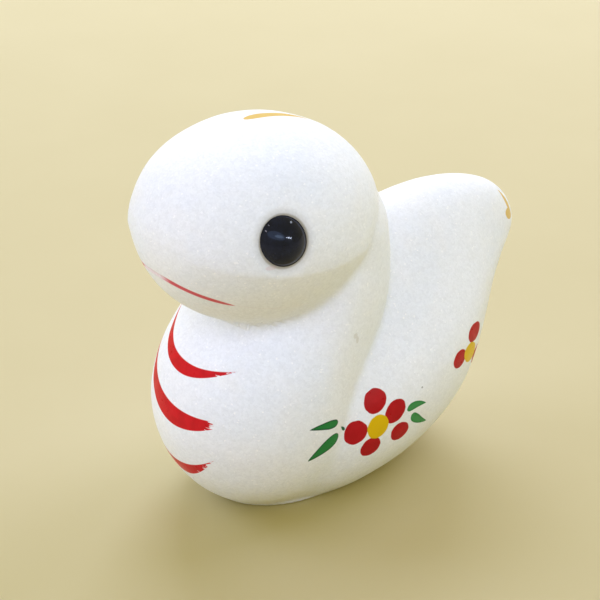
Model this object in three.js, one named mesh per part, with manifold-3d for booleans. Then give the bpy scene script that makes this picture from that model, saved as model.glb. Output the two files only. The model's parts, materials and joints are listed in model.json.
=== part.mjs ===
// A small carved stone snake, 68 mm long, with two round bead eyes.
//
// The snake is one lump of white stone: a rounded head on a raised neck, a full
// breast, and a body that runs back and up to a blunt tail. It stands on a flat
// sawn foot. Millimetres, +Z up, the head towards -Y, the snake's left side
// towards +X. The origin lies under the middle of the whole length, on the foot.

import * as THREE from 'three';
import { mergeVertices } from 'three/addons/utils/BufferGeometryUtils.js';
import Module from 'manifold-3d';

const wasm = await Module();
wasm.setup();

// The rounded forms that the carver left, each a swelling about its own centre.
// front, back, up and down are its reach from that centre, half is half its
// width, and dip turns its front end down, in degrees.
const HEAD = { y: -16, z: 45.5, dip: -1.5, half: 16.6, front: 18.3, back: 17.4, up: 13.3, down: 16.1 };
const NECK = { y: -11.5, z: 31, dip: 68, half: 15.5, front: 21, back: 22, up: 7.5, down: 14.5 };
const BREAST = { y: -16, z: 15.5, dip: 7, half: 16, front: 16.5, back: 8.5, up: 16.5, down: 18 };
const BODY = { y: 0, z: 16, dip: 23, half: 18, front: 28.5, back: 25.5, up: 13, down: 18 };
const TAIL = { y: 8.5, z: 25.5, dip: 13, half: 10, front: 22, back: 26.5, up: 14, down: 7 };

// How far apart two forms start to run into each other: small where a crease
// shows, large where the stone flows on.
const UNDER_JAW = 3;
const NECK_TO_BREAST = 8.5;
const BEHIND_NECK = 3;
const BODY_TO_TAIL = 9;

// The mouth is a fine line cut round the front of the head. From its middle it
// falls to both corners, with a soft bend in the middle. A high fade keeps the
// cut at its full depth until close to the corners.
const MOUTH = { z: 40.55, corner: 9.8, fall: 0.42, bend: 5, width: 0.8, depth: 0.35, fade: 6 };

// Each eye is a slightly oval bead, its top leaning back, in degrees. It is sunk
// past its middle in a drilled hollow that is a little wider.
const EYE = { y: -22.9, z: 48.15, bead: 8, oval: 0.95, lean: 15, sunk: 2.8, clearance: 0.3 };

// The fineness of the facets.
const FACET = 2;
const GROOVE_SIDES = 6;
const GROOVE_STEPS = 16;
const BEAD_SIDES = 24;
const BEAD_RINGS = 14;

// How often the facets are evened out, how often a place is moved nearer to the
// surface, and the small step over which the surface's slope is measured.
const EVEN_ROUNDS = 4;
const SETTLE_STEPS = 6;
const WALK_STEPS = 40;
const SLOPE_STEP = 0.01;

// A block that holds the whole stone. The saw takes off what lies below z = 0.
const BLOCK_LOW = new THREE.Vector3(-22, -38, -6);
const BLOCK_HIGH = new THREE.Vector3(22, 38, 62);

const STONE = new THREE.MeshStandardMaterial({ color: 0xe4e3dd, roughness: 0.55, metalness: 0 });
const BLACK_BEAD = new THREE.MeshStandardMaterial({ color: 0x08090c, roughness: 0.08, metalness: 0 });

// The distance from a place to an egg-shaped form, less than zero inside it.
function eggDistance(egg, place) {
  const dip = THREE.MathUtils.degToRad(egg.dip);
  const y = place.y - egg.y;
  const z = place.z - egg.z;
  const ahead = -y * Math.cos(dip) - z * Math.sin(dip);
  const above = -y * Math.sin(dip) + z * Math.cos(dip);
  const length = ahead > 0 ? egg.front : egg.back;
  const height = above > 0 ? egg.up : egg.down;
  const share = Math.hypot(place.x / egg.half, ahead / length, above / height);
  const slope = Math.hypot(place.x / egg.half ** 2, ahead / length ** 2, above / height ** 2);
  return slope > 0 ? share * (share - 1) / slope : -egg.half;
}

// Two forms that run softly into each other over the given reach.
function joined(first, second, reach) {
  const overlap = Math.max(reach - Math.abs(first - second), 0) / reach;
  return Math.min(first, second) - overlap ** 2 * reach / 4;
}

// The distance from a place to the stone, before its foot is sawn flat.
function stoneDistance(place) {
  const column = joined(eggDistance(NECK, place), eggDistance(BREAST, place), NECK_TO_BREAST);
  const front = joined(eggDistance(HEAD, place), column, UNDER_JAW);
  const rear = joined(eggDistance(BODY, place), eggDistance(TAIL, place), BODY_TO_TAIL);
  return joined(front, rear, BEHIND_NECK);
}

// The way in which the stone's surface faces at a place, and how steeply the
// distance grows there.
function stoneSlope(place) {
  const slope = new THREE.Vector3();
  for (const axis of ['x', 'y', 'z']) {
    const after = place.clone();
    const before = place.clone();
    after[axis] += SLOPE_STEP;
    before[axis] -= SLOPE_STEP;
    slope[axis] = (stoneDistance(after) - stoneDistance(before)) / (2 * SLOPE_STEP);
  }
  return slope;
}

// Moves a place near the stone to the nearest part of its surface.
function settle(place) {
  for (let step = 0; step < SETTLE_STEPS; step += 1) {
    const slope = stoneSlope(place);
    place.addScaledVector(slope, -stoneDistance(place) / slope.lengthSq());
  }
  return place;
}

// Walks straight from a place outside the stone until it meets the surface.
function walkToStone(place, direction) {
  for (let step = 0; step < WALK_STEPS; step += 1) {
    place.addScaledVector(direction, stoneDistance(place));
  }
  return place;
}

// The stone in facets of one size. The block is parted into cells. Each cell
// that the surface passes through gets one corner on the surface, and each cell
// edge that crosses the surface gets a four-sided facet between the corners of
// the four cells around it.
function facetedStone() {
  const count = BLOCK_HIGH.clone().sub(BLOCK_LOW).divideScalar(FACET).ceil().toArray();
  const placeOf = (cell) => new THREE.Vector3(...cell).multiplyScalar(FACET).add(BLOCK_LOW);

  const insides = new Map();
  const isInside = (cell) => {
    const name = cell.join();
    if (!insides.has(name)) {
      insides.set(name, stoneDistance(placeOf(cell)) < 0);
    }
    return insides.get(name);
  };

  const corners = [];
  const cornerNumbers = new Map();
  const cornerIn = (cell) => {
    const name = cell.join();
    if (!cornerNumbers.has(name)) {
      cornerNumbers.set(name, corners.length);
      corners.push(settle(placeOf(cell).addScalar(FACET / 2)));
    }
    return cornerNumbers.get(name);
  };

  const triangles = [];
  const addFacets = (cell, axis) => {
    const next = cell.with(axis, cell[axis] + 1);
    if (isInside(cell) === isInside(next)) {
      return;
    }
    const second = (axis + 1) % 3;
    const third = (axis + 2) % 3;
    const around = [[0, 0], [1, 0], [1, 1], [0, 1]].map(([a, b]) => (
      cornerIn(cell.with(second, cell[second] - a).with(third, cell[third] - b))
    ));
    const [a, b, c, d] = isInside(cell) ? around : around.reverse();
    if (corners[a].distanceTo(corners[c]) < corners[b].distanceTo(corners[d])) {
      triangles.push(a, b, c, a, c, d);
    } else {
      triangles.push(a, b, d, b, c, d);
    }
  };

  for (let i = 1; i < count[0]; i += 1) {
    for (let j = 1; j < count[1]; j += 1) {
      for (let k = 1; k < count[2]; k += 1) {
        [0, 1, 2].forEach((axis) => addFacets([i, j, k], axis));
      }
    }
  }
  for (let round = 0; round < EVEN_ROUNDS; round += 1) {
    evenOut(corners, triangles);
  }
  return solidFrom(corners.flatMap((corner) => corner.toArray()), triangles);
}

// Moves each corner to the middle of its neighbours and back on to the surface.
function evenOut(corners, triangles) {
  const sums = corners.map(() => new THREE.Vector3());
  const counts = corners.map(() => 0);
  triangles.forEach((corner, index) => {
    const next = triangles[index % 3 === 2 ? index - 2 : index + 1];
    sums[corner].add(corners[next]);
    counts[corner] += 1;
  });
  corners.forEach((corner, number) => {
    corner.copy(settle(sums[number].divideScalar(counts[number])));
  });
}

function solidFrom(positions, triangles) {
  const vertProperties = Float32Array.from(positions);
  const triVerts = Uint32Array.from(triangles);
  return new wasm.Manifold(new wasm.Mesh({ numProp: 3, vertProperties, triVerts }));
}

function solidOf(geometry) {
  geometry.deleteAttribute('normal');
  geometry.deleteAttribute('uv');
  const merged = mergeVertices(geometry);
  return solidFrom(merged.attributes.position.array, merged.index.array);
}

function geometryOf(solid) {
  const mesh = solid.getMesh();
  const geometry = new THREE.BufferGeometry();
  geometry.setAttribute('position', new THREE.BufferAttribute(mesh.vertProperties, 3));
  geometry.setIndex(new THREE.BufferAttribute(mesh.triVerts, 1));
  return geometry;
}

// What the saw takes off below the foot.
function sawnOff() {
  const size = BLOCK_HIGH.clone().sub(BLOCK_LOW);
  const waste = new THREE.BoxGeometry(size.x, size.y, -BLOCK_LOW.z);
  waste.translate(0, 0, BLOCK_LOW.z / 2);
  return solidOf(waste);
}

// The line of the mouth as a round bar that lies half in the surface. It rises
// out of the stone towards its ends, so the cut fades at the mouth's corners.
function mouthBar() {
  const radius = MOUTH.width / 2;
  const line = [];
  for (let step = 0; step <= GROOVE_STEPS; step += 1) {
    const share = 2 * step / GROOVE_STEPS - 1;
    const x = share * MOUTH.corner;
    const z = MOUTH.z - MOUTH.fall * (Math.hypot(x, MOUTH.bend) - MOUTH.bend);
    const start = new THREE.Vector3(x, BLOCK_LOW.y, z);
    const place = walkToStone(start, new THREE.Vector3(0, 1, 0));
    const depth = MOUTH.depth * (1 - share ** MOUTH.fade);
    line.push(place.addScaledVector(stoneSlope(place).normalize(), radius - depth));
  }
  const section = new THREE.Shape().absarc(0, 0, radius, 0, 2 * Math.PI);
  return solidOf(new THREE.ExtrudeGeometry(section, {
    extrudePath: new THREE.CatmullRomCurve3(line),
    steps: 2 * GROOVE_STEPS,
    curveSegments: GROOVE_SIDES,
    bevelEnabled: false,
  }));
}

// The middle of the left eye's bead. The right one is its mirror image.
function eyeCentre() {
  const start = new THREE.Vector3(BLOCK_HIGH.x, EYE.y, EYE.z);
  const place = walkToStone(start, new THREE.Vector3(-1, 0, 0));
  return place.addScaledVector(stoneSlope(place).normalize(), -EYE.sunk);
}

function ovalBead(radius) {
  const bead = new THREE.SphereGeometry(radius, BEAD_SIDES, BEAD_RINGS);
  bead.rotateX(Math.PI / 2);
  bead.scale(1, EYE.oval, 1);
  bead.rotateX(THREE.MathUtils.degToRad(-EYE.lean));
  return bead;
}

function socket(centre) {
  return solidOf(ovalBead(EYE.bead / 2 + EYE.clearance).translate(...centre.toArray()));
}

function namedMesh(name, geometry, material) {
  const mesh = new THREE.Mesh(geometry, material);
  mesh.name = name;
  return mesh;
}

const leftEyeCentre = eyeCentre();
const rightEyeCentre = leftEyeCentre.clone().setX(-leftEyeCentre.x);

const stone = facetedStone()
  .subtract(sawnOff())
  .subtract(mouthBar())
  .subtract(socket(leftEyeCentre))
  .subtract(socket(rightEyeCentre));

const leftEye = namedMesh('left_eye', ovalBead(EYE.bead / 2), BLACK_BEAD);
leftEye.position.copy(leftEyeCentre);

const rightEye = namedMesh('right_eye', ovalBead(EYE.bead / 2), BLACK_BEAD);
rightEye.position.copy(rightEyeCentre);

const snake = new THREE.Group();
snake.add(namedMesh('stone_body', geometryOf(stone), STONE), leftEye, rightEye);

export default snake;
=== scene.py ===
# %% [markdown]
# A carved stone snake
#
# This lesson dresses a small hand-carved snake of white crystalline stone: a
# round head with two black bead eyes, a full breast, and a body that runs up to
# a blunt tail. It was ground smooth on a wheel, and then painted by hand with a
# few quick strokes. The construction model already holds its true form in flat
# facets. Here the facets become a ground skin, the eyes become glossy beads, and
# the painting is laid on in the material.

import json
import math

import bpy
import numpy as np
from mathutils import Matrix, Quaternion, Vector

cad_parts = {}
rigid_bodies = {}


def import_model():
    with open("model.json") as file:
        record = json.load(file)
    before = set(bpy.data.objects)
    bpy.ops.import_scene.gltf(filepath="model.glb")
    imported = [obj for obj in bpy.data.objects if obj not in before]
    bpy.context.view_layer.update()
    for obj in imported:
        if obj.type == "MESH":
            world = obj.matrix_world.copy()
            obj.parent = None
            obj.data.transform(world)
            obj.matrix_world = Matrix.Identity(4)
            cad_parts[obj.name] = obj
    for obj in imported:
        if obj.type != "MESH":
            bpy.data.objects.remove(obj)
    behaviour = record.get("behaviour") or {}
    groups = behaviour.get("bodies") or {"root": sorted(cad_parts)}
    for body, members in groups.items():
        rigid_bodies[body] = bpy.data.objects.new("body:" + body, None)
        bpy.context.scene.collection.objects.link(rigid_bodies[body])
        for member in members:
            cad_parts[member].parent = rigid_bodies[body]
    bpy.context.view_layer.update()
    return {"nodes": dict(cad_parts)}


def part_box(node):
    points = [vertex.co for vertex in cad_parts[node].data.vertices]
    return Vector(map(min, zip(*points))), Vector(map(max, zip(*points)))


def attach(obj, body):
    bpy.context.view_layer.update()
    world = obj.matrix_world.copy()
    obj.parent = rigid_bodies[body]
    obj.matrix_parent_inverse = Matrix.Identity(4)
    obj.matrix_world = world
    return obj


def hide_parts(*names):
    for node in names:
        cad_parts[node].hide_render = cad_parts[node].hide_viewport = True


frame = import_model()
MM = 0.001

# %% [markdown]
# Three small tools for the bench
#
# An operator acts on everything that is selected, so each step first picks the
# one piece that it is meant for. A modifier is applied as soon as it is added,
# which leaves a plain mesh that the next step can select faces on.


# %% The bench tools
def pick(*pieces):
    bpy.ops.object.select_all(action="DESELECT")
    for piece in pieces:
        piece.select_set(True)
    bpy.context.view_layer.objects.active = pieces[0]


def apply_modifier(piece, kind, **settings):
    pick(piece)
    modifier = piece.modifiers.new(kind.lower(), kind)
    for name, value in settings.items():
        setattr(modifier, name, value)
    bpy.ops.object.modifier_apply(modifier=modifier.name)


def edit_faces(piece, is_wanted):
    """Opens the piece for editing, with only the wanted faces selected."""
    pick(piece)
    bpy.ops.object.mode_set(mode="EDIT")
    bpy.ops.mesh.select_mode(type="FACE")
    bpy.ops.mesh.select_all(action="DESELECT")
    bpy.ops.object.mode_set(mode="OBJECT")
    for face in piece.data.polygons:
        face.select = is_wanted(face)
    bpy.ops.object.mode_set(mode="EDIT")


# %% [markdown]
# Where the eyes sit
#
# Each eye is a black bead of 8 mm, a little narrower than it is tall. It is sunk
# well past its middle. The frame has a plain solid for each, whose top leans
# back, and the middle of that solid's box is the middle of the bead. A place is
# inside such an oval when its offset, turned upright and divided by the three
# radii, is shorter than one.

# %% The oval of an eye
BEAD_RADIUS = 4 * MM
BEAD_OVAL = 0.95
BEAD_LEAN = math.radians(15)

eye_middles = {}
for side in ("left", "right"):
    low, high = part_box(side + "_eye")
    eye_middles[side] = (low + high) / 2


def oval_reach(place, middle, radius):
    offset = place - middle
    forward = offset.y * math.cos(BEAD_LEAN) - offset.z * math.sin(BEAD_LEAN)
    upward = offset.y * math.sin(BEAD_LEAN) + offset.z * math.cos(BEAD_LEAN)
    return Vector((offset.x, forward / BEAD_OVAL, upward)).length / radius


print("the eyes are", round((eye_middles["left"] - eye_middles["right"]).length / MM, 1), "mm apart")

# %% [markdown]
# The lump of stone
#
# The carving is one stone, so it is one mesh. It starts as a copy of the
# faceted solid, because the original may not be changed. The facets' loose
# corners are merged first. The faces that line the two coarse eye sockets are
# deleted, and a flat cap closes each hole, because the sockets are drilled again,
# finer, once the skin is smooth.

# %% Copy the stone and close its sockets
CAD_SOCKET_RADIUS = 4.3 * MM
ON_SOCKET_WALL = 1.002
SAME_PLACE = 0.001 * MM


def lines_a_socket(face):
    reaches = [oval_reach(face.center, middle, CAD_SOCKET_RADIUS) for middle in eye_middles.values()]
    return min(reaches) < ON_SOCKET_WALL


cad_stone = frame["nodes"]["stone_body"]
stone = bpy.data.objects.new("painted_stone", cad_stone.data.copy())
bpy.context.collection.objects.link(stone)
stone.data.materials.clear()
pick(stone)
bpy.ops.object.mode_set(mode="EDIT")
bpy.ops.mesh.select_all(action="SELECT")
bpy.ops.mesh.remove_doubles(threshold=SAME_PLACE)
bpy.ops.object.mode_set(mode="OBJECT")

edit_faces(stone, lines_a_socket)
bpy.ops.mesh.delete(type="FACE")
bpy.ops.mesh.select_all(action="SELECT")
bpy.ops.mesh.fill_holes(sides=0)
bpy.ops.mesh.select_all(action="SELECT")
bpy.ops.mesh.normals_make_consistent(inside=False)
bpy.ops.object.mode_set(mode="OBJECT")
caps = [face for face in stone.data.polygons if len(face.vertices) > 3]
print("closed", len(caps), "sockets")

# %% [markdown]
# From facets to a ground skin
#
# A voxel remesh gives the stone an even net of small faces, and smoothing then
# melts the facets into each other. The flat foot stays flat, because a plane
# has nothing to melt, and only its rim goes soft, as on the real stone, where
# the sharp sawn edge was broken on the wheel. The remesh can leave crumbs in the
# air beside the stone, so all that isn't linked to the crown is swept away.

# %% Remesh and smooth the stone
SKIN_VOXEL = 0.45 * MM
SMOOTH_ROUNDS = 22

apply_modifier(stone, "REMESH", mode="VOXEL", voxel_size=SKIN_VOXEL)
all_faces = len(stone.data.polygons)
crown = max(
    (face for face in stone.data.polygons if abs(face.center.x) < MM),
    key=lambda face: face.center.z,
)
crown_index = crown.index
edit_faces(stone, lambda face: face.index == crown_index)
bpy.ops.mesh.select_linked()
bpy.ops.mesh.select_all(action="INVERT")
bpy.ops.mesh.delete(type="FACE")
bpy.ops.object.mode_set(mode="OBJECT")
print("swept away", all_faces - len(stone.data.polygons), "faces of crumbs")

apply_modifier(stone, "SMOOTH", factor=0.5, iterations=SMOOTH_ROUNDS)
print("the skin has", len(stone.data.polygons), "faces")

# %% [markdown]
# Filing the stone true
#
# The coarse facets and the smoothing have filled the creases under the jaw and
# behind the neck, where the real stone was filed crisp. The carver's swellings
# are egg shapes with known sizes, the same ones that the construction model was
# made from, so the distance from any place to the true form can be worked out.
# Two swellings run softly into each other over a given reach, which is large
# where the stone flows on, and small in a crease. The crease under the jaw runs
# out behind the cheek, where the head flows into the neck.
#
# All sizes are in millimetres. A swelling's middle is at y and z, and dip is the
# angle by which its nose points down. Half is its half width, and the other four
# numbers are how far it reaches each way.

# %% The five swellings
SWELLINGS = {
    "head": {
        "y": -16, "z": 45.5, "dip": -1.5, "half": 16.6,
        "front": 18.3, "back": 17.4, "up": 13.3, "down": 16.1,
    },
    "neck": {
        "y": -11.5, "z": 31, "dip": 68, "half": 15.5,
        "front": 21, "back": 22, "up": 7.5, "down": 14.5,
    },
    "breast": {
        "y": -16, "z": 15.5, "dip": 7, "half": 16,
        "front": 16.5, "back": 8.5, "up": 16.5, "down": 18,
    },
    "body": {
        "y": 0, "z": 16, "dip": 23, "half": 18,
        "front": 28.5, "back": 25.5, "up": 13, "down": 18,
    },
    "tail": {
        "y": 8.5, "z": 25.5, "dip": 13, "half": 10,
        "front": 22, "back": 26.5, "up": 14, "down": 7,
    },
}
NECK_TO_BREAST = 8.5
BODY_TO_TAIL = 9
CREASE = 0.8
HEAD_TO_NECK = 4
JAW_END = (-9, -4)
NECK_END = (42, 48)


def ramp(value, low, high):
    """0 up to low, 1 from high on, and a soft step between them."""
    share = np.clip((value - low) / (high - low), 0, 1)
    return share * share * (3 - 2 * share)


def egg_distance(name, places):
    """How far places lie outside a swelling, in millimetres, below zero inside it."""
    egg = SWELLINGS[name]
    dip = math.radians(egg["dip"])
    across, back, up = places[:, 0], places[:, 1] - egg["y"], places[:, 2] - egg["z"]
    ahead = -back * math.cos(dip) - up * math.sin(dip)
    above = -back * math.sin(dip) + up * math.cos(dip)
    length = np.where(ahead > 0, egg["front"], egg["back"])
    height = np.where(above > 0, egg["up"], egg["down"])
    share = np.sqrt((across / egg["half"]) ** 2 + (ahead / length) ** 2 + (above / height) ** 2)
    slope = (across / egg["half"] ** 2) ** 2 + (ahead / length ** 2) ** 2 + (above / height ** 2) ** 2
    return share * (share - 1) / np.sqrt(slope)


def joined(first, second, reach):
    """The distance to two shapes at once, rounded where both are nearer than the reach."""
    overlap = np.maximum(reach - np.abs(first - second), 0) / reach
    return np.minimum(first, second) - overlap ** 2 * reach / 4


def stone_distance(places):
    column = joined(egg_distance("neck", places), egg_distance("breast", places), NECK_TO_BREAST)
    flowing = ramp(places[:, 1], *JAW_END) * (1 - ramp(places[:, 2], *NECK_END))
    under_jaw = CREASE + (HEAD_TO_NECK - CREASE) * flowing
    front = joined(egg_distance("head", places), column, under_jaw)
    rear = joined(egg_distance("body", places), egg_distance("tail", places), BODY_TO_TAIL)
    return joined(front, rear, CREASE)


print(len(SWELLINGS), "swellings:", ", ".join(SWELLINGS))

# %% [markdown]
# The file and the filler
#
# A Displace modifier moves each vertex along its normal, by as much as a vertex
# group says. One group files away what stands proud of the true form, and one
# fills what lies below it. A few passes bring the skin to within a hair. The
# foot is left alone, because the saw cut it flat and the wheel broke its rim. A
# pair of numbers such as FOOT_FREE says where a soft step begins and ends.

# %% File the stone true
TRUE_PASSES = 4
DEEPEST_PASS = 1.2
FOOT_FREE = (0.15, 1.2)


def places_on(piece):
    """The vertices of a piece as rows of millimetres."""
    return np.array([vertex.co for vertex in piece.data.vertices]) / MM


def weigh(piece, name, shares):
    group = piece.vertex_groups.new(name=name)
    for index, share in enumerate(np.clip(shares, 0, 1)):
        group.add([index], float(share), "REPLACE")


def move_skin(piece, heights):
    """Moves each vertex out by its own height in millimetres, or in where that is below zero."""
    weigh(piece, "fill", heights / DEEPEST_PASS)
    weigh(piece, "file", -heights / DEEPEST_PASS)
    apply_modifier(piece, "DISPLACE", strength=DEEPEST_PASS * MM, mid_level=0, vertex_group="fill")
    apply_modifier(piece, "DISPLACE", strength=-DEEPEST_PASS * MM, mid_level=0, vertex_group="file")
    piece.vertex_groups.clear()


for number in range(TRUE_PASSES):
    places = places_on(stone)
    off = stone_distance(places) * ramp(places[:, 2], *FOOT_FREE)
    move_skin(stone, -off)
    print("pass", number + 1, "moved the skin by up to", round(float(abs(off).max()), 2), "mm")

# %% [markdown]
# Marks of the grinding wheel
#
# The wheel left a soft edge along the cheeks. The head stays full down to that
# edge, and below it is cut back flatter, down to the jaw. The edge is high at the
# snout and falls towards the back of the head. The wheel also left a shallow dish
# around each eye, and very low waves all over, for which the Displace modifier
# reads a cloud pattern. The waves leave out the foot, which has to stay flat.

# %% Grind the cheeks, the dishes and the waves
CHEEK_EDGE = {"height": 42.8, "rise": 0.0075, "from": -14}
CHEEK_FULL = 0.38
FULL_REACH = 4
CHEEK_CUT = 0.2
CUT_REACH = 4.5
SNOUT = (-33, -22)
SNOUT_CUT = 0.3
SNOUT_TIP = (-34.5, -31.5)
HEAD_BACK = (-10, -5)
ABOVE_CREASE = (0.3, 1.5)
DISH_DEPTH = 0.3
DISH_REACH = (1.0, 1.3)
WAVE_SIZE = 7
WAVE_HEIGHT = 0.16


def cheek_height(places):
    """How far out the cheeks stand from the plain swelling, in millimetres."""
    ahead = np.maximum(CHEEK_EDGE["from"] - places[:, 1], 0)
    above = places[:, 2] - CHEEK_EDGE["height"] - CHEEK_EDGE["rise"] * ahead ** 2
    fullness = CHEEK_FULL * np.clip(1 - above / FULL_REACH, 0, 1)
    fullness = fullness * np.clip(1 + above / CUT_REACH / 2, 0, 1) ** 2
    fullness = fullness * ramp(places[:, 1], *SNOUT_TIP)
    from_edge = np.clip(-above / CUT_REACH, 0, 1)
    cut = CHEEK_CUT * (1 - (1 - from_edge) ** 2)
    cut = cut * (SNOUT_CUT + (1 - SNOUT_CUT) * ramp(places[:, 1], *SNOUT))
    on_head = ramp(egg_distance("neck", places) - egg_distance("head", places), *ABOVE_CREASE)
    return (fullness - cut) * on_head * (1 - ramp(places[:, 1], *HEAD_BACK))


def dish_share(places):
    reaches = [
        min(oval_reach(Vector(place) * MM, middle, BEAD_RADIUS) for middle in eye_middles.values())
        for place in places
    ]
    return 1 - ramp(np.array(reaches), *DISH_REACH)


places = places_on(stone)
move_skin(stone, cheek_height(places) - DISH_DEPTH * dish_share(places))

waves = bpy.data.textures.new("grinding_waves", "CLOUDS")
waves.noise_scale = WAVE_SIZE * MM
waves.noise_depth = 1
weigh(stone, "waves", ramp(places[:, 2], *FOOT_FREE))
apply_modifier(
    stone, "DISPLACE", texture=waves, texture_coords="LOCAL",
    strength=WAVE_HEIGHT * MM, mid_level=0.5, vertex_group="waves",
)
stone.vertex_groups.clear()
print("the cheeks are cut back by up to", CHEEK_CUT, "mm and the dishes by", DISH_DEPTH, "mm")

# %% [markdown]
# The bead eyes
#
# A real bead like this is turned from a rod and polished all over. A cube that
# is subdivided and cast to a sphere has even four-sided faces and no poles, so
# its highlights stay clean. It is then drawn out to the oval, tilted, and ground
# flat behind, where it is glued to the bottom of its socket. The tool that drills
# the socket is the same oval, a hair wider. The bead leans forward, and the plain
# solid back, but the oval is so slight that they differ by only 0.1 mm.


# %% An oval bead
def oval_bead(name, middle, radius):
    bpy.ops.object.select_all(action="DESELECT")
    bpy.ops.mesh.primitive_cube_add(size=2 * radius, location=middle)
    bead = bpy.context.object
    bead.name = name
    apply_modifier(bead, "SUBSURF", levels=4, render_levels=4)
    apply_modifier(bead, "CAST", factor=1, size=radius, use_radius_as_size=False)
    bpy.ops.object.mode_set(mode="EDIT")
    bpy.ops.mesh.select_all(action="SELECT")
    bpy.ops.transform.resize(value=(1, BEAD_OVAL, 1), center_override=middle)
    bpy.ops.transform.rotate(value=-BEAD_LEAN, orient_axis="X", center_override=middle)
    bpy.ops.object.mode_set(mode="OBJECT")
    bpy.ops.object.transform_apply(location=True, rotation=True, scale=True)
    return bead


# %% Turn the two beads
SEAT_DEPTH = 2.6 * MM
SEAT_ROUNDING = 0.3 * MM
SHARP_ON_BEAD = math.radians(40)

beads = {}
for side, middle in eye_middles.items():
    bead = oval_bead(side + "_bead_eye", middle, BEAD_RADIUS)
    outward = Vector((math.copysign(1, middle.x), 0, 0))
    edit_faces(bead, lambda face: True)
    bpy.ops.mesh.bisect(
        plane_co=middle - outward * SEAT_DEPTH, plane_no=outward, use_fill=True, clear_inner=True,
    )
    bpy.ops.mesh.bevel(offset=SEAT_ROUNDING, segments=3)
    bpy.ops.object.mode_set(mode="OBJECT")
    bpy.ops.object.shade_smooth_by_angle(angle=SHARP_ON_BEAD)
    beads[side] = bead
    print(side, "bead:", len(bead.data.polygons), "faces")

# %% [markdown]
# The mouth and the sockets
#
# The mouth is a hair-fine groove, cut with a round point that was drawn round
# the front of the head. The line falls a little to both corners, and the point
# was lifted out of the stone as it came near them. Here that point is a curve
# with a round section, laid along the places where rays from the front meet the
# stone. It is joined with the two socket drills, so that one boolean cuts all
# three.

# %% Lay out the mouth
MOUTH = {"height": 41.0 * MM, "corner": 9.8 * MM, "fall": 0.68, "bend": 12 * MM}
MOUTH_POINT = 0.3 * MM
MOUTH_DEPTH = 0.17 * MM
MOUTH_STEPS = 20
IN_FRONT = -60 * MM


def mouth_height(across):
    return MOUTH["height"] - MOUTH["fall"] * (math.hypot(across, MOUTH["bend"]) - MOUTH["bend"])


def mouth_line():
    """The way of the point: deepest in the middle, and clear of the stone at the corners."""
    places = []
    for step in range(-MOUTH_STEPS, MOUTH_STEPS + 1):
        share = step / MOUTH_STEPS
        across = share * MOUTH["corner"]
        start = Vector((across, IN_FRONT, mouth_height(across)))
        _, place, normal, _ = stone.ray_cast(start, Vector((0, 1, 0)))
        lift = MOUTH_POINT - MOUTH_DEPTH * (1 - share ** 4)
        places.append(place + normal * lift)
    return places


line = bpy.data.curves.new("mouth_cutter", "CURVE")
line.dimensions = "3D"
line.bevel_depth = MOUTH_POINT
line.bevel_resolution = 3
line.use_fill_caps = True
spline = line.splines.new("POLY")
mouth_places = mouth_line()
spline.points.add(len(mouth_places) - 1)
for point, place in zip(spline.points, mouth_places):
    point.co = (*place, 1)
cutter = bpy.data.objects.new("mouth_cutter", line)
bpy.context.collection.objects.link(cutter)
pick(cutter)
bpy.ops.object.convert(target="MESH")
fall = (mouth_places[MOUTH_STEPS].z - mouth_places[0].z) / MM
print("the mouth falls by", round(fall, 1), "mm to its corners")

# %% Cut the mouth and drill the sockets
SOCKET_PLAY = 0.05 * MM
SHARP_ON_STONE = math.radians(35)

drills = [oval_bead("drill", middle, BEAD_RADIUS + SOCKET_PLAY) for middle in eye_middles.values()]
pick(cutter, *drills)
bpy.ops.object.join()
bpy.ops.object.mode_set(mode="EDIT")
bpy.ops.mesh.select_all(action="SELECT")
bpy.ops.mesh.remove_doubles(threshold=SAME_PLACE)
bpy.ops.mesh.normals_make_consistent(inside=False)
bpy.ops.object.mode_set(mode="OBJECT")
apply_modifier(stone, "BOOLEAN", object=cutter, operation="DIFFERENCE", solver="EXACT")
bpy.data.objects.remove(cutter)
pick(stone)
bpy.ops.object.shade_smooth_by_angle(angle=SHARP_ON_STONE)
triangles = sum(len(face.vertices) - 2 for face in stone.data.polygons)
print("the finished stone has", triangles, "triangles")

# %% [markdown]
# Writing node trees in words
#
# A material is a tree of small sums. These helpers add one node at a time: a
# value that is a number is written on the node's own socket, and a value that
# comes from another node is linked to it. The Mix node has a set of sockets for
# each kind of value, all with the same names, so its colours go by number.


# %% Node helpers
COLOR_A, COLOR_B, COLOR_RESULT = 6, 7, 2


def feed(tree, value, socket):
    if isinstance(value, bpy.types.NodeSocket):
        tree.links.new(value, socket)
    else:
        socket.default_value = value


def calc(tree, operation, *values, clamp=False):
    node = tree.nodes.new("ShaderNodeMath")
    node.operation = operation
    node.use_clamp = clamp
    for value, socket in zip(values, node.inputs):
        feed(tree, value, socket)
    return node.outputs["Value"]


def vector_calc(tree, operation, *values, scale=None):
    node = tree.nodes.new("ShaderNodeVectorMath")
    node.operation = operation
    for value, socket in zip(values, node.inputs):
        feed(tree, value, socket)
    if scale is not None:
        feed(tree, scale, node.inputs["Scale"])
    return node.outputs["Value" if operation in ("LENGTH", "DOT_PRODUCT") else "Vector"]


def soft_step(tree, value, low, high):
    """0 up to low, 1 from high on, and a soft step between them."""
    node = tree.nodes.new("ShaderNodeMapRange")
    node.interpolation_type = "SMOOTHSTEP"
    feed(tree, value, node.inputs["Value"])
    feed(tree, low, node.inputs["From Min"])
    feed(tree, high, node.inputs["From Max"])
    return node.outputs["Result"]


def mix_colors(tree, share, first, second):
    node = tree.nodes.new("ShaderNodeMix")
    node.data_type = "RGBA"
    feed(tree, share, node.inputs["Factor"])
    feed(tree, first, node.inputs[COLOR_A])
    feed(tree, second, node.inputs[COLOR_B])
    return node.outputs[COLOR_RESULT]


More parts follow.
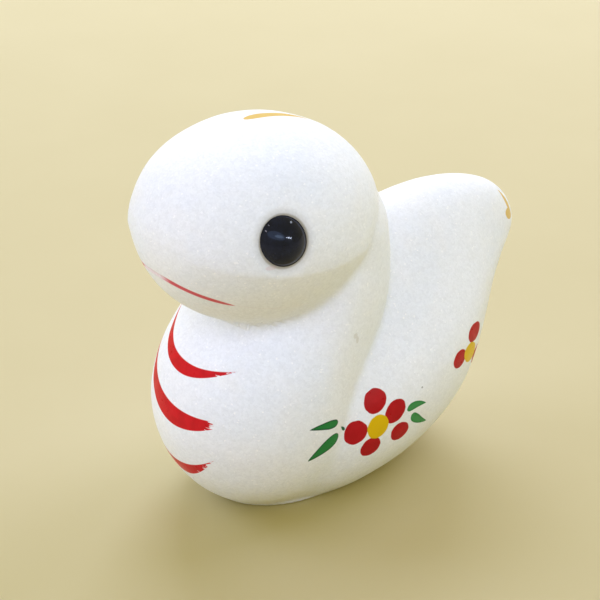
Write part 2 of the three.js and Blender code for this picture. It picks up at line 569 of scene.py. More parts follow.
def split(tree, vector):
    node = tree.nodes.new("ShaderNodeSeparateXYZ")
    feed(tree, vector, node.inputs["Vector"])
    return node.outputs["X"], node.outputs["Y"], node.outputs["Z"]


def combine(tree, first, second, third=0):
    node = tree.nodes.new("ShaderNodeCombineXYZ")
    for value, socket in zip((first, second, third), node.inputs):
        feed(tree, value, socket)
    return node.outputs["Vector"]


def noise(tree, place, scale, detail=2, roughness=0.5):
    node = tree.nodes.new("ShaderNodeTexNoise")
    feed(tree, place, node.inputs["Vector"])
    feed(tree, scale, node.inputs["Scale"])
    node.inputs["Detail"].default_value = detail
    node.inputs["Roughness"].default_value = roughness
    return node.outputs["Fac"]


# %% Group helpers
def new_group(name, inputs, outputs):
    """A node group with named inputs, as {name: first value}, and number outputs."""
    group = bpy.data.node_groups.new(name, "ShaderNodeTree")
    for label, value in inputs.items():
        kind = "NodeSocketFloat" if isinstance(value, (int, float)) else "NodeSocketVector"
        socket = group.interface.new_socket(label, in_out="INPUT", socket_type=kind)
        socket.default_value = value
    for label in outputs:
        group.interface.new_socket(label, in_out="OUTPUT", socket_type="NodeSocketFloat")
    return group, group.nodes.new("NodeGroupInput").outputs, group.nodes.new("NodeGroupOutput").inputs


def use_group(tree, group, **values):
    node = tree.nodes.new("ShaderNodeGroup")
    node.node_tree = group
    for name, value in values.items():
        feed(tree, value, node.inputs[name])
    return node.outputs


def new_material(name, **settings):
    """A material whose even values are set on the shader's own sockets."""
    material = bpy.data.materials.new(name)
    material.use_nodes = True
    shader = material.node_tree.nodes["Principled BSDF"]
    for socket, value in settings.items():
        shader.inputs[socket.replace("_", " ")].default_value = value
    return material, material.node_tree, shader


def object_place(tree):
    """The place on the object, in millimetres, so that the sums read as real sizes."""
    node = tree.nodes.new("ShaderNodeTexCoord")
    return vector_calc(tree, "SCALE", node.outputs["Object"], scale=1 / MM)


# %% [markdown]
# Crystals
#
# This stone is made of small crystals, like pressed sugar. Ground but not
# polished, each crystal is a tiny mirror that leans its own way. A pattern of
# cells parts the stone. Each cell gets a slope of its own, as a height that
# grows in a random direction, and a few cells lean enough to flash.
# The group gives each cell's own shade, the few that flash, and the height.

# %% The crystal group
crystals, put_in, put_out = new_group(
    "stone_crystals",
    {"Place": (0, 0, 0), "Size": 0.4, "Lean": 0.1, "Flash": 0.02},
    ["Shade", "Glint", "Height"],
)
GLINT_LEAN = 4

cells = crystals.nodes.new("ShaderNodeTexVoronoi")
feed(crystals, put_in["Place"], cells.inputs["Vector"])
feed(crystals, calc(crystals, "DIVIDE", 1, put_in["Size"]), cells.inputs["Scale"])
chance = vector_calc(crystals, "SUBTRACT", cells.outputs["Color"], (0.5, 0.5, 0.5))
shade, flash, _ = split(crystals, cells.outputs["Color"])
is_glint = calc(crystals, "GREATER_THAN", flash, calc(crystals, "SUBTRACT", 1, put_in["Flash"]))
offset = vector_calc(crystals, "SUBTRACT", put_in["Place"], cells.outputs["Position"])
slope = vector_calc(crystals, "DOT_PRODUCT", offset, chance)
steeper = calc(crystals, "MULTIPLY_ADD", is_glint, GLINT_LEAN - 1, 1)
lean = calc(crystals, "MULTIPLY", put_in["Lean"], steeper)
feed(crystals, shade, put_out["Shade"])
feed(crystals, is_glint, put_out["Glint"])
feed(crystals, calc(crystals, "MULTIPLY", slope, lean), put_out["Height"])
print("crystal group:", len(crystals.nodes), "nodes")

# %% [markdown]
# Handling
#
# Years of handling leave the stone and the beads a little duller in some places
# than in others. One group serves both finishes.

# %% The handling group
handling, put_in, put_out = new_group(
    "handling_wear",
    {"Place": (0, 0, 0), "Size": 5.0, "Least": 0.4, "Most": 0.6},
    ["Roughness", "Mask"],
)
DULL_PATCHES = (0.35, 0.7)

patches_per_mm = calc(handling, "DIVIDE", 1, put_in["Size"])
cloud = noise(handling, put_in["Place"], patches_per_mm, detail=4, roughness=0.65)
worn = soft_step(handling, cloud, *DULL_PATCHES)
spread = calc(handling, "SUBTRACT", put_in["Most"], put_in["Least"])
feed(handling, calc(handling, "MULTIPLY_ADD", worn, spread, put_in["Least"]), put_out["Roughness"])
feed(handling, worn, put_out["Mask"])
print("handling group:", len(handling.nodes), "nodes")

# %% [markdown]
# Three marks of the brush
#
# The painter used three marks. A dab is a round touch with a full brush, for a
# petal. A stroke starts at a fine tip and swells to a rounded end, for a leaf or
# a line of gold. A crescent is a long sweep across the breast between two bowed
# edges, which runs dry at its end, where the bristles leave gaps. Each is a group
# that works in a flat picture of the stone, from the side, the front or the top.
#
# Each works out how far a place lies inside the edge of the mark, which wobbles
# as a hand does, and a soft step turns that into a mask.

# %% The dab group
dab, put_in, put_out = new_group(
    "paint_dab",
    {"Place": (0, 0, 0), "Middle": (0, 0, 0), "Turn": 0.0, "Half size": (1, 1, 1), "Wobble": 0.0},
    ["Mask"],
)
DAB_EDGE = (1.03, 0.97)

turned = dab.nodes.new("ShaderNodeVectorRotate")
turned.rotation_type = "Z_AXIS"
feed(dab, vector_calc(dab, "SUBTRACT", put_in["Place"], put_in["Middle"]), turned.inputs["Vector"])
feed(dab, calc(dab, "MULTIPLY", put_in["Turn"], -1), turned.inputs["Angle"])
shares = vector_calc(dab, "DIVIDE", turned.outputs["Vector"], put_in["Half size"])
reach = calc(dab, "ADD", vector_calc(dab, "LENGTH", shares), put_in["Wobble"])
feed(dab, soft_step(dab, reach, *DAB_EDGE), put_out["Mask"])
print("a dab takes", len(dab.nodes), "nodes")

# %% The stroke group
stroke, put_in, put_out = new_group(
    "paint_stroke",
    {
        "Place": (0, 0, 0), "Tip": (0, 0, 0), "End": (1, 0, 0), "Half width": 1.0, "Bow": 0.0,
        "Swell": 0.7, "Wobble": 0.0,
    },
    ["Mask", "Edge"],
)
STROKE_EDGE = (0, 0.09)
THICK_EDGE = (0.45, 0.05)
ROUND_END = 5
BOW_AT_HALF = 4
PAST_ENDS = 20

whole = vector_calc(stroke, "SUBTRACT", put_in["End"], put_in["Tip"])
length = vector_calc(stroke, "LENGTH", whole)
ahead = vector_calc(stroke, "NORMALIZE", whole)
offset = vector_calc(stroke, "SUBTRACT", put_in["Place"], put_in["Tip"])
reached = calc(stroke, "DIVIDE", vector_calc(stroke, "DOT_PRODUCT", offset, ahead), length)
along = calc(stroke, "ADD", reached, 0, clamp=True)
past = calc(stroke, "ABSOLUTE", calc(stroke, "SUBTRACT", reached, along))
_, _, across = split(stroke, vector_calc(stroke, "CROSS_PRODUCT", ahead, offset))
bowed = calc(stroke, "MULTIPLY", along, calc(stroke, "SUBTRACT", 1, along))
bowed = calc(stroke, "MULTIPLY", bowed, BOW_AT_HALF)
from_line = calc(stroke, "SUBTRACT", across, calc(stroke, "MULTIPLY", bowed, put_in["Bow"]))
swell = calc(stroke, "POWER", along, put_in["Swell"])
rounded = calc(stroke, "SQRT", calc(stroke, "SUBTRACT", 1, calc(stroke, "POWER", along, ROUND_END)))
half = calc(stroke, "MULTIPLY", calc(stroke, "MULTIPLY", swell, rounded), put_in["Half width"])
gap = calc(stroke, "SUBTRACT", half, calc(stroke, "ABSOLUTE", from_line))
gap = calc(stroke, "ADD", gap, calc(stroke, "MULTIPLY", put_in["Wobble"], half))
gap = calc(stroke, "SUBTRACT", gap, calc(stroke, "MULTIPLY", past, PAST_ENDS))
feed(stroke, soft_step(stroke, gap, *STROKE_EDGE), put_out["Mask"])
feed(stroke, soft_step(stroke, gap, *THICK_EDGE), put_out["Edge"])
print("a stroke takes", len(stroke.nodes), "nodes")

# %% [markdown]
# The crescent's two edges
#
# Each edge is given by its lowest point, across and up, and by its bow. The brush
# paints fully as far as Dry from, and has run out at Dry to. Streaks is a picture
# of the bristles: each paints while the brush holds more than its own number.
# Tail says how well the upper ones still paint in the dry part.

# %% The crescent group
crescent, put_in, put_out = new_group(
    "paint_crescent",
    {
        "Place": (0, 0, 0), "Upper edge": (0, 1, 0.02), "Lower edge": (0, 0, 0.04),
        "Dry from": 5.0, "Dry to": 8.0, "Tail": 0.5, "Streaks": 0.5,
    },
    ["Mask"],
)
PAINT_EDGE = (0, 0.1)
BRISTLE_EDGE = (0, 0.15)
FULL_BRUSH = 1.3
UPPER_BRISTLES = 3

across, height, _ = split(crescent, put_in["Place"])


def edge_height(edge):
    lowest_across, lowest_height, bow = split(crescent, edge)
    offset = calc(crescent, "SUBTRACT", across, lowest_across)
    return calc(crescent, "MULTIPLY_ADD", calc(crescent, "MULTIPLY", offset, offset), bow, lowest_height)


above = calc(crescent, "SUBTRACT", edge_height(put_in["Upper edge"]), height)
below = calc(crescent, "SUBTRACT", height, edge_height(put_in["Lower edge"]))
swept = soft_step(crescent, calc(crescent, "MINIMUM", above, below), *PAINT_EDGE)
wet = soft_step(crescent, across, put_in["Dry to"], put_in["Dry from"])
upper_share = calc(crescent, "DIVIDE", below, calc(crescent, "ADD", above, below), clamp=True)
brush = calc(crescent, "MULTIPLY", calc(crescent, "POWER", upper_share, UPPER_BRISTLES), put_in["Tail"])
brush = calc(crescent, "MULTIPLY_ADD", wet, FULL_BRUSH, brush)
touching = soft_step(crescent, calc(crescent, "SUBTRACT", brush, put_in["Streaks"]), *BRISTLE_EDGE)
feed(crescent, calc(crescent, "MULTIPLY", swept, touching), put_out["Mask"])
print("a crescent takes", len(crescent.nodes), "nodes")

# %% [markdown]
# The stone and its painting
#
# One material holds the stone and all the painting, because the paint is only
# colour on the stone: it fills the grain but stands no higher. The stone's own
# colour comes first, with faint clouds and the crystals in it, and light
# sinks in a little way, which softens its shadows. The crystals come in two
# sizes, laid over each other, because one size alone looks like a net. The few
# fine crystals that flash are painted near white as well: a painted glint.

# %% The stone's own colour, with painted glints
painted_stone, tree, shader = new_material(
    "painted_crystalline_stone",
    Subsurface_Weight=0.3,
    Subsurface_Radius=(1.0, 0.92, 0.8),
    Subsurface_Scale=1.6 * MM,
    IOR=1.5,
    Specular_IOR_Level=0.1,
)
place = object_place(tree)
across, along, height = split(tree, place)
grain = use_group(tree, crystals, Place=place, Size=0.5, Lean=0.05, Flash=0.0)
fine_grain = use_group(tree, crystals, Place=place, Size=0.24, Lean=0.04, Flash=0.012)
wear = use_group(tree, handling, Place=place, Size=6.0, Least=0.42, Most=0.6)

WHITE = (0.87, 0.88, 0.895, 1)
COOL_WHITE = (0.85, 0.87, 0.90, 1)
WARM_WHITE = (0.875, 0.87, 0.855, 1)
PAINTED_GLINT_WHITE = (0.98, 0.98, 0.98, 1)
CRYSTAL_SPREAD = 0.05
FINE_SPREAD = 0.06
COOL_CLOUDS = (0.4, 0.65)
WARM_CLOUDS = (0.5, 0.75)
WARM_COVER = 0.6

cool = soft_step(tree, noise(tree, place, scale=0.09), *COOL_CLOUDS)
warm = soft_step(tree, noise(tree, place, scale=0.13, detail=3), *WARM_CLOUDS)
stone_color = mix_colors(tree, cool, WHITE, COOL_WHITE)
stone_color = mix_colors(tree, calc(tree, "MULTIPLY", warm, WARM_COVER), stone_color, WARM_WHITE)
coarse_shade = calc(tree, "MULTIPLY_ADD", grain["Shade"], CRYSTAL_SPREAD, 1 - CRYSTAL_SPREAD / 2)
fine_shade = calc(tree, "MULTIPLY_ADD", fine_grain["Shade"], FINE_SPREAD, -FINE_SPREAD / 2)
stone_color = vector_calc(tree, "SCALE", stone_color, scale=calc(tree, "ADD", coarse_shade, fine_shade))
# The flashing cells get a painted glint: their colour is raised to near white.
stone_color = mix_colors(tree, fine_grain["Glint"], stone_color, PAINTED_GLINT_WHITE)
print("bare stone:", len(tree.nodes), "nodes")

# %% [markdown]
# Grime and painted shade
#
# Around each bead the stone is darkened in two rings. They are partly dirt,
# gathered in the narrow gap and faintly on the stone beside it, and partly
# painted shade, where the bead and its recess would shadow the stone. One sum
# serves both sides: the right half of the stone is folded onto the left, and the
# way from the bead is measured in its own radii. A ring of grime and painted
# shade is given by where it ends, where it is full, and how well it covers.

# %% Grime and painted shade around the beads
BEAD_MIDDLE = tuple(side / MM for side in eye_middles["left"])
OVAL_RADII = tuple(BEAD_RADIUS / MM * share for share in (1, BEAD_OVAL, 1))
NARROW_GRIME_AND_SHADE = (1.10, 1.02, 0.72)
WIDE_GRIME_AND_SHADE = (1.30, 1.04, 0.20)
GRIME_AND_SHADE = (0.30, 0.25, 0.15, 1)

on_left = combine(tree, calc(tree, "ABSOLUTE", across), along, height)
upright = tree.nodes.new("ShaderNodeVectorRotate")
upright.rotation_type = "X_AXIS"
upright.inputs["Angle"].default_value = BEAD_LEAN
feed(tree, vector_calc(tree, "SUBTRACT", on_left, BEAD_MIDDLE), upright.inputs["Vector"])
radii_away = vector_calc(tree, "DIVIDE", upright.outputs["Vector"], OVAL_RADII)
from_bead = vector_calc(tree, "LENGTH", radii_away)
# Each ring darkens the stone: part dirt, part painted shade of the bead and its recess.
for outer, inner, cover in (NARROW_GRIME_AND_SHADE, WIDE_GRIME_AND_SHADE):
    ring = calc(tree, "MULTIPLY", soft_step(tree, from_bead, outer, inner), cover)
    stone_color = mix_colors(tree, ring, stone_color, GRIME_AND_SHADE)
# The darkening that this reports is grime and painted shade.
print("the grime reaches", round((WIDE_GRIME_AND_SHADE[0] - 1) * BEAD_RADIUS / MM, 1), "mm from the beads")

# %% [markdown]
# The flat pictures
#
# The flowers are placed as seen from the side, the stripes and the lips from the
# front, and the gold from the front or the top, each in a flat picture in
# millimetres. The side picture serves both flanks, but slips a little on the
# right one, because no hand paints the same spray twice. Two slow noises give
# that slip. The streaks are a noise drawn out along the brush's path.

# %% The flat pictures that the painter works in
HAND_SLIP = 1.6
SLIP_SCALE = 0.16
OTHER_SLIP = (40, 0, 0)
EDGE_WOBBLE = 0.12
BRISTLE_PATH = (0.35, 0.35, 2.6)
BRISTLE_GAPS = (0.3, 0.72)


def swing(where, scale, detail):
    """A noise that swings about zero."""
    return calc(tree, "SUBTRACT", noise(tree, where, scale, detail), 0.5)


on_right_side = calc(tree, "LESS_THAN", across, 0)
slip = combine(
    tree,
    swing(place, SLIP_SCALE, detail=0),
    swing(vector_calc(tree, "ADD", place, OTHER_SLIP), SLIP_SCALE, detail=0),
)
slip = vector_calc(tree, "SCALE", slip, scale=calc(tree, "MULTIPLY", on_right_side, HAND_SLIP))
from_side = vector_calc(tree, "ADD", combine(tree, along, height), slip)
from_front = combine(tree, across, height)
from_top = combine(tree, across, along)
wobble = calc(tree, "MULTIPLY", swing(place, scale=0.9, detail=1), EDGE_WOBBLE)
streak_place = vector_calc(tree, "MULTIPLY", place, BRISTLE_PATH)
streaks = soft_step(tree, noise(tree, streak_place, scale=1.1, detail=3, roughness=0.7), *BRISTLE_GAPS)
print("the spray on the right flank slips by up to", HAND_SLIP / 2, "mm")

# %% [markdown]
# The flowers
#
# A spray of two red flowers with yellow hearts and green leaves runs along each
# flank. Every petal is one dab, with its middle, its length and breadth, and its
# turn in degrees. Every leaf is one stroke from tip to end, and its paint is
# thicker, and so darker, along the edge. The masks of one colour are added up.


# %% The brush in the hand
def add_marks(*masks):
    """One mask where any of the marks is."""
    total = masks[0]
    for mask in masks[1:]:
        total = calc(tree, "MAXIMUM", total, mask)
    return total


def paint_dab(picture, middle, half_size, turn=0):
    values = {"Place": picture, "Middle": middle, "Half size": half_size, "Turn": math.radians(turn)}
    return use_group(tree, dab, Wobble=wobble, **values)["Mask"]


def paint_stroke(picture, tip, end, half_width, bow, swell=0.7):
    values = {"Place": picture, "Tip": (*tip, 0), "End": (*end, 0), "Half width": half_width}
    return use_group(tree, stroke, Bow=bow, Swell=swell, Wobble=wobble, **values)


# %% The flowers on the flanks
def petal(middle, size, turn=0):
    return paint_dab(from_side, (*middle, 0), (size[0] / 2, size[1] / 2, 1), turn)


def leaf(tip, end, width, bow):
    return paint_stroke(from_side, tip, end, width / 2, bow)


petals = add_marks(
    petal((-7.3, 18.0), (3.9, 3.0), 46),
    petal((-4.4, 15.7), (4.0, 3.3), 48),
    petal((-3.3, 11.7), (3.5, 3.3), -31),
    petal((-8.4, 10.7), (3.5, 3.3), 61),
    petal((-10.9, 13.9), (3.9, 3.4), 49),
    petal((9.4, 19.0), (3.5, 2.9), -6),
    petal((14.1, 21.2), (4.2, 3.1), -11),
    petal((16.0, 16.0), (3.6, 3.0)),
)
hearts = add_marks(
    petal((-7.4, 14.0), (4.0, 3.4), 68),
    petal((12.9, 18.3), (4.6, 3.2), -30),
)
leaves = [
    leaf((-19.4, 17.8), (-14.3, 17.2), 2.2, 0.15),
    leaf((-19.2, 12.0), (-14.0, 14.9), 3.5, 0.15),
    leaf((-13.4, 15.9), (-12.5, 14.8), 0.8, 0),
]
thin_leaves = [
    leaf((1.5, 15.0), (-2.3, 15.3), 2.1, -0.35),
    leaf((2.5, 11.0), (-1.3, 14.0), 2.2, 0.3),
]
print("each flank has", len(leaves + thin_leaves), "leaves")

# %% [markdown]
# The breast, the lips and the gold
#
# Three crescents are swept across the breast, one below the other. A fine red
# line follows the mouth, and is nearly worn off at the snout. One touch of gold
# lies along the crown. Another runs down the end of the tail as a thin line with
# a rounder foot. A picture from the front also falls on the back, so each mark is
# kept to its own end of the stone.

# %% The crescents on the breast
FRONT_ONLY = (-14, -18)


def breast_stripe(upper_edge, lower_edge, dry_from, dry_to, tail):
    edges = {"Upper edge": upper_edge, "Lower edge": lower_edge}
    dry = {"Dry from": dry_from, "Dry to": dry_to, "Tail": tail, "Streaks": streaks}
    return use_group(tree, crescent, Place=from_front, **edges, **dry)["Mask"]


in_front = soft_step(tree, along, *FRONT_ONLY)
stripes = add_marks(
    breast_stripe((1.2, 25.45, 0.0165), (-0.3, 23.75, 0.034), 3.6, 9.6, 0.9),
    breast_stripe((5.0, 19.20, 0.0161), (1.3, 16.40, 0.0400), 5.4, 8.6, 0.10),
    breast_stripe((-1.5, 9.15, 0.0420), (-0.5, 6.90, 0.0840), 1.6, 10.5, 0.95),
)
stripes = calc(tree, "MULTIPLY", stripes, in_front)
print("the crescents lie in front of y", FRONT_ONLY[0], "mm")

# %% The painted lips
LIP_WIDTH = 0.85
LIP_TIP = 10.4
LIP_TAPER = 16
LIP_EDGE = (-0.05, 0.12)
LEFT_OF_SNOUT = (0.8, 3.2)
RIGHT_OF_SNOUT = (-2.5, -5.0)
SNOUT_COVER = 0.2
LIP_COVER = 0.88

bend = MOUTH["bend"] / MM
line_top = MOUTH["height"] / MM + MOUTH["fall"] * bend
from_middle = calc(tree, "SQRT", calc(tree, "MULTIPLY_ADD", across, across, bend ** 2))
line_height = calc(tree, "MULTIPLY_ADD", from_middle, -MOUTH["fall"], line_top)
off_line = calc(tree, "ABSOLUTE", calc(tree, "SUBTRACT", height, line_height))
lip_share = calc(tree, "DIVIDE", calc(tree, "ABSOLUTE", across), LIP_TIP, clamp=True)
lip_taper = calc(tree, "SUBTRACT", 1, calc(tree, "POWER", lip_share, LIP_TAPER))
lip_gap = calc(tree, "SUBTRACT", calc(tree, "MULTIPLY", lip_taper, LIP_WIDTH / 2), off_line)
lips = calc(tree, "MULTIPLY", soft_step(tree, lip_gap, *LIP_EDGE), in_front)
off_snout = add_marks(soft_step(tree, across, *LEFT_OF_SNOUT), soft_step(tree, across, *RIGHT_OF_SNOUT))
lip_cover = calc(tree, "MULTIPLY_ADD", off_snout, LIP_COVER - SNOUT_COVER, SNOUT_COVER)
lips = calc(tree, "MULTIPLY", lips, lip_cover)
print("the red line is", LIP_WIDTH, "mm wide")

# %% The touches of gold
ON_CROWN = (48, 50)
ON_TAIL = (24, 26)
GOLD_SWELL = 0.4

crown_gold = paint_stroke(from_top, (0.0, -7.0), (-1.5, -17.0), 1.3, -0.4, GOLD_SWELL)["Mask"]
crown_gold = calc(tree, "MULTIPLY", crown_gold, soft_step(tree, height, *ON_CROWN))
tail_line = paint_stroke(from_front, (2.6, 36.2), (4.4, 32.0), 0.5, 0.1, GOLD_SWELL)["Mask"]
tail_touch = paint_dab(from_front, (4.6, 32.5, 0), (0.75, 0.95, 1))
tail_gold = add_marks(tail_line, tail_touch)
tail_gold = calc(tree, "MULTIPLY", tail_gold, soft_step(tree, along, *ON_TAIL))
gold = calc(tree, "ADD", crown_gold, tail_gold)
print("gold lies above", ON_CROWN[0], "mm and behind y", ON_TAIL[0], "mm")

# %% [markdown]
# Small signs of use
#
# A carving that is handled for years is never quite clean. Two grey specks, a
# pale brown smudge on the neck and a faint chip below the left eye are dabs in
# the round: their middle and size have three numbers, so each marks one place.


# %% Flecks of dirt, and a chip by the eye
def fleck(middle, size):
    return paint_dab(place, middle, tuple(side / 2 for side in size))


chip = fleck((14.6, -24.8, 44.9), (1.4, 1.5, 0.6))
grey_flecks = add_marks(
    fleck((10.6, -27.3, 51.35), (0.4, 0.3, 0.3)),
    fleck((17.8, 0.6, 18.0), (0.5, 0.35, 0.3)),
)
rust_fleck = add_marks(
    fleck((15.6, -10.7, 29.9), (0.8, 0.8, 0.8)),
    fleck((15.6, -10.3, 29.1), (0.8, 0.6, 1.2)),
)
print("with the flecks:", len(tree.nodes), "nodes")

# %% [markdown]
# Laying the paint on
#
# The colours go on in the painter's order: petals, stripes and lips, then the
# yellow hearts over the petals, the leaves, and the gold last. The red varies a
# little where it was laid on thicker. Where there is paint, the surface is
# glossier and the grain partly filled, so the masks serve there as well.

# %% Lay the paint on the stone
RED = (0.43, 0.009, 0.012, 1)
BRIGHT_RED = (0.62, 0.014, 0.020, 1)
YELLOW = (0.74, 0.48, 0.004, 1)
GREEN = (0.022, 0.22, 0.050, 1)
DARK_GREEN = (0.012, 0.085, 0.042, 1)
THIN_GREEN = (0.055, 0.28, 0.08, 1)
GOLD = (0.70, 0.47, 0.12, 1)
GREY = (0.30, 0.29, 0.28, 1)
RUST = (0.45, 0.40, 0.30, 1)
PINK = (0.68, 0.42, 0.42, 1)
GOLD_COVER = 0.95
FLECK_COVER = 0.75
RUST_COVER = 0.3
CHIP_COVER = 0.25
BLOTCHES = (0.35, 0.7)
PETAL_BLOTCH = 0.3
STRIPE_BLOTCH = 0.4

blotch = soft_step(tree, noise(tree, place, scale=0.7, detail=3), *BLOTCHES)
petal_red = mix_colors(tree, calc(tree, "MULTIPLY", blotch, PETAL_BLOTCH), RED, BRIGHT_RED)
stripe_red = mix_colors(tree, calc(tree, "MULTIPLY", blotch, STRIPE_BLOTCH), BRIGHT_RED, RED)
color = mix_colors(tree, calc(tree, "MULTIPLY", grey_flecks, FLECK_COVER), stone_color, GREY)
color = mix_colors(tree, calc(tree, "MULTIPLY", rust_fleck, RUST_COVER), color, RUST)
color = mix_colors(tree, calc(tree, "MULTIPLY", chip, CHIP_COVER), color, PINK)
color = mix_colors(tree, petals, color, petal_red)
color = mix_colors(tree, stripes, color, stripe_red)
color = mix_colors(tree, lips, color, BRIGHT_RED)
color = mix_colors(tree, hearts, color, YELLOW)
for one in leaves:
    color = mix_colors(tree, one["Mask"], color, mix_colors(tree, one["Edge"], GREEN, DARK_GREEN))
for one in thin_leaves:
    color = mix_colors(tree, one["Mask"], color, mix_colors(tree, one["Edge"], THIN_GREEN, GREEN))
color = mix_colors(tree, calc(tree, "MULTIPLY", gold, GOLD_COVER), color, GOLD)
feed(tree, color, shader.inputs["Base Color"])
paint = add_marks(petals, stripes, hearts, lips, gold, *[one["Mask"] for one in leaves + thin_leaves])
print("with all the paint:", len(tree.nodes), "nodes")

# %% Gloss and relief of the stone
PAINT_GLOSS = 0.12
GLINT_GLOSS = 0.3
PAINT_FILLS = 0.7

paint_gloss = calc(tree, "MULTIPLY", paint, -PAINT_GLOSS)
glint_gloss = calc(tree, "MULTIPLY", fine_grain["Glint"], -GLINT_GLOSS)
roughness = calc(tree, "ADD", calc(tree, "ADD", wear["Roughness"], paint_gloss), glint_gloss)
feed(tree, roughness, shader.inputs["Roughness"])

relief = calc(tree, "ADD", grain["Height"], fine_grain["Height"])
relief = calc(tree, "MULTIPLY", relief, calc(tree, "MULTIPLY_ADD", paint, -PAINT_FILLS, 1))
bump = tree.nodes.new("ShaderNodeBump")
bump.inputs["Distance"].default_value = MM
bump.inputs["Strength"].default_value = 1
feed(tree, relief, bump.inputs["Height"])
feed(tree, bump.outputs["Normal"], shader.inputs["Normal"])
stone.data.materials.append(painted_stone)
print("painted stone:", len(tree.nodes), "nodes")

# %% [markdown]
# Black glass for the eyes
#
# The beads are nearly black, with a breath of blue, and polished. Handling has
# left them slightly dull in patches, which breaks up the reflections. The left one
# has two pale nicks at its edge, for which the group of the dab serves as well.

# %% The bead finish
BEAD_BLACK = (0.005, 0.0055, 0.014, 1)
BEAD_DULL = (0.009, 0.0105, 0.025, 1)
NICKS = ((13.55, -24.24, 50.62), (13.64, -24.80, 49.94))
NICK_SIZE = {"Half size": (0.16, 0.05, 0.15)}
NICK_PALE = (0.26, 0.24, 0.28, 1)

bead_black, tree, shader = new_material(
    "polished_black_bead", IOR=1.43, Specular_Tint=(0.68, 0.77, 1.0, 1),
)
place = object_place(tree)
bead_wear = use_group(tree, handling, Place=place, Size=1.6, Least=0.07, Most=0.14)
feed(tree, bead_wear["Roughness"], shader.inputs["Roughness"])
blue_black = mix_colors(tree, bead_wear["Mask"], BEAD_BLACK, BEAD_DULL)
nick_marks = [use_group(tree, dab, Place=place, Middle=middle, **NICK_SIZE)["Mask"] for middle in NICKS]
nicks = calc(tree, "MAXIMUM", *nick_marks)
feed(tree, mix_colors(tree, nicks, blue_black, NICK_PALE), shader.inputs["Base Color"])
for bead in beads.values():
    bead.data.materials.append(bead_black)
print("bead finish:", len(tree.nodes), "nodes")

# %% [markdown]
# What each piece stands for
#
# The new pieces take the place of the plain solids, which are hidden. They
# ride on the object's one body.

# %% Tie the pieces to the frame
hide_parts("stone_body")
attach(stone, "root")
for side, bead in beads.items():
    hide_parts(side + "_eye")
    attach(bead, "root")
print(1 + len(beads), "pieces stand for the plain solids")

# %% [markdown]
# The floor
#
# The snake stands on a plain floor of pale card. Faint clouds of colour keep it
# from looking empty. It isn't part of the object.

# %% Floor
FLOOR_SIZE = 4.0
FLOOR_PALE = (0.69, 0.63, 0.42, 1)
FLOOR_PALER = (0.73, 0.67, 0.46, 1)

bpy.ops.object.select_all(action="DESELECT")
bpy.ops.mesh.primitive_plane_add(size=FLOOR_SIZE, location=(0, 0, 0))
floor = bpy.context.object
floor.name = "pale_floor"
floor_finish, tree, shader = new_material("pale_card", Roughness=0.9)
clouds = noise(tree, object_place(tree), scale=0.03, detail=5)
feed(tree, mix_colors(tree, clouds, FLOOR_PALE, FLOOR_PALER), shader.inputs["Base Color"])
floor.data.materials.append(floor_finish)
print("the floor is", FLOOR_SIZE, "m wide")

# %% [markdown]
# The light
#
# Soft light falls in from all round, as through windows. Each window is a square
# area light that faces the snake. The strongest stands behind its right side, and
# gives the bright crown and the soft shadow towards the camera. Four of them
# reach only the snake, by light linking. They shape its face and its left side,
# and leave the shadow on the floor dark.
#
# A polished bead shows each lamp as a spark. So the windows are hidden from gloss,
# and narrow lamps that are seen only in gloss draw the streaks and the sheen.

# %% A soft light
LIGHT_DISTANCE = 0.9
LIGHT_TARGET = Vector((0, -8, 28)) * MM


def direction(azimuth, elevation):
    """The way out from the snake, by degrees. Azimuth 0 is in front, 90 on its left."""
    turn, rise = math.radians(azimuth), math.radians(elevation)
    return Vector((math.sin(turn) * math.cos(rise), -math.cos(turn) * math.cos(rise), math.sin(rise)))


def soft_light(name, azimuth, elevation, size, watts, color=(1, 1, 1), roll=0):
    """A light of size (width, height) in metres that faces the snake."""
    away = direction(azimuth, elevation)
    lamp = bpy.data.lights.new(name, "AREA")
    lamp.shape = "RECTANGLE"
    lamp.size, lamp.size_y = size
    lamp.energy = watts
    lamp.color = color
    light = bpy.data.objects.new(name, lamp)
    light.location = LIGHT_TARGET + away * LIGHT_DISTANCE
    light.rotation_mode = "QUATERNION"
    rolled = Quaternion((0, 0, 1), math.radians(roll))
    light.rotation_quaternion = away.to_track_quat("Z", "Y") @ rolled
    bpy.context.collection.objects.link(light)
    return light


# %% The windows
WINDOW = (0.5, 0.5)
SMALL_WINDOW = (0.3, 0.3)

room_windows = [
    soft_light("right_back_window", -128, 35, WINDOW, 6.0, (0.73, 0.78, 1.0)),
    soft_light("back_window", 180, 40, WINDOW, 2.6, (0.69, 0.69, 1.0)),
    soft_light("right_window", -60, 30, WINDOW, 2.3, (0.65, 0.71, 1.0)),
]
snake_windows = [
    soft_light("camera_side_window", 52, 45, WINDOW, 3.3, (0.55, 0.56, 1.0)),
    soft_light("face_window", 0, 28, WINDOW, 2.0, (0.40, 0.57, 1.0)),
    soft_light("snout_window", -30, 12, SMALL_WINDOW, 1.8, (0.76, 0.79, 1.0)),
    soft_light("left_window", 115, 40, WINDOW, 2.1, (0.51, 0.76, 1.0)),
]
for window in room_windows + snake_windows:
    window.visible_glossy = False

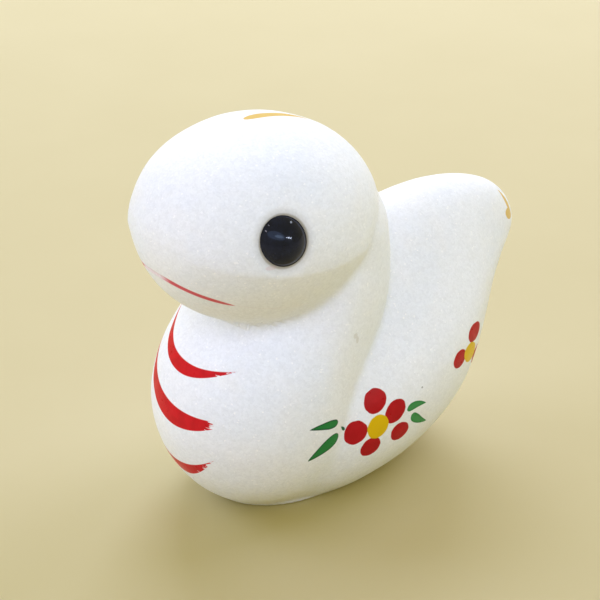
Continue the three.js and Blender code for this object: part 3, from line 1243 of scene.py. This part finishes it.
snake_only = bpy.data.collections.new("snake_only")
for piece in (stone, *beads.values()):
    snake_only.objects.link(piece)
for window in snake_windows:
    window.light_linking.receiver_collection = snake_only
print(len(snake_windows), "windows light only the snake")

# %% The sparks in the eyes
eye_lamps = [
    soft_light("eye_streak", 97, 23, (0.38, 0.035), 2.0, roll=-22),
    soft_light("small_eye_streak", 172, 44, (0.20, 0.09), 0.35, roll=-33),
    soft_light("wide_eye_sheen", 40, 36, (1.3, 0.50), 1.9, (0.50, 0.68, 1.0), roll=-8),
    soft_light("eye_sheen", 54, 33, (0.55, 0.18), 0.6, (0.70, 0.88, 1.0), roll=-8),
]
for lamp in eye_lamps:
    lamp.visible_diffuse = False
    lamp.data.shape = "ELLIPSE"
print(len(eye_lamps), "lamps are seen only in gloss")

# %% The room
ROOM_COLOR = (1.0, 0.88, 0.32, 1)
ROOM_STRENGTH = 0.49

room = bpy.data.worlds.new("pale_room")
room.use_nodes = True
background = room.node_tree.nodes["Background"]
background.inputs["Color"].default_value = ROOM_COLOR
background.inputs["Strength"].default_value = ROOM_STRENGTH
bpy.context.scene.world = room
bpy.context.scene.view_settings.view_transform = "Standard"
print("the room adds warm light of strength", ROOM_STRENGTH)

# %% [markdown]
# The camera
#
# The camera looks down on the snake's left cheek from close by, with a long
# lens. Its place and its lens come from matching the outline of the stone.

# %% Camera
LOOK_AT = Vector((0, -8.32, 28.09)) * MM
AZIMUTH = 51.56
ELEVATION = 29.02
CAMERA_DISTANCE = 220 * MM
PIXELS_PER_MM = 6.689
PHOTO_WIDTH = 600

camera_data = bpy.data.cameras.new("photo_view")
camera_data.sensor_width = 36
camera_data.lens = PIXELS_PER_MM * CAMERA_DISTANCE / MM * camera_data.sensor_width / PHOTO_WIDTH
camera_data.clip_start = 0.01
camera = bpy.data.objects.new("photo_view", camera_data)
away = direction(AZIMUTH, ELEVATION)
camera.location = LOOK_AT + away * CAMERA_DISTANCE
camera.rotation_euler = away.to_track_quat("Z", "Y").to_euler()
bpy.context.collection.objects.link(camera)
bpy.context.scene.camera = camera
print("the lens is", round(camera_data.lens, 1), "mm")
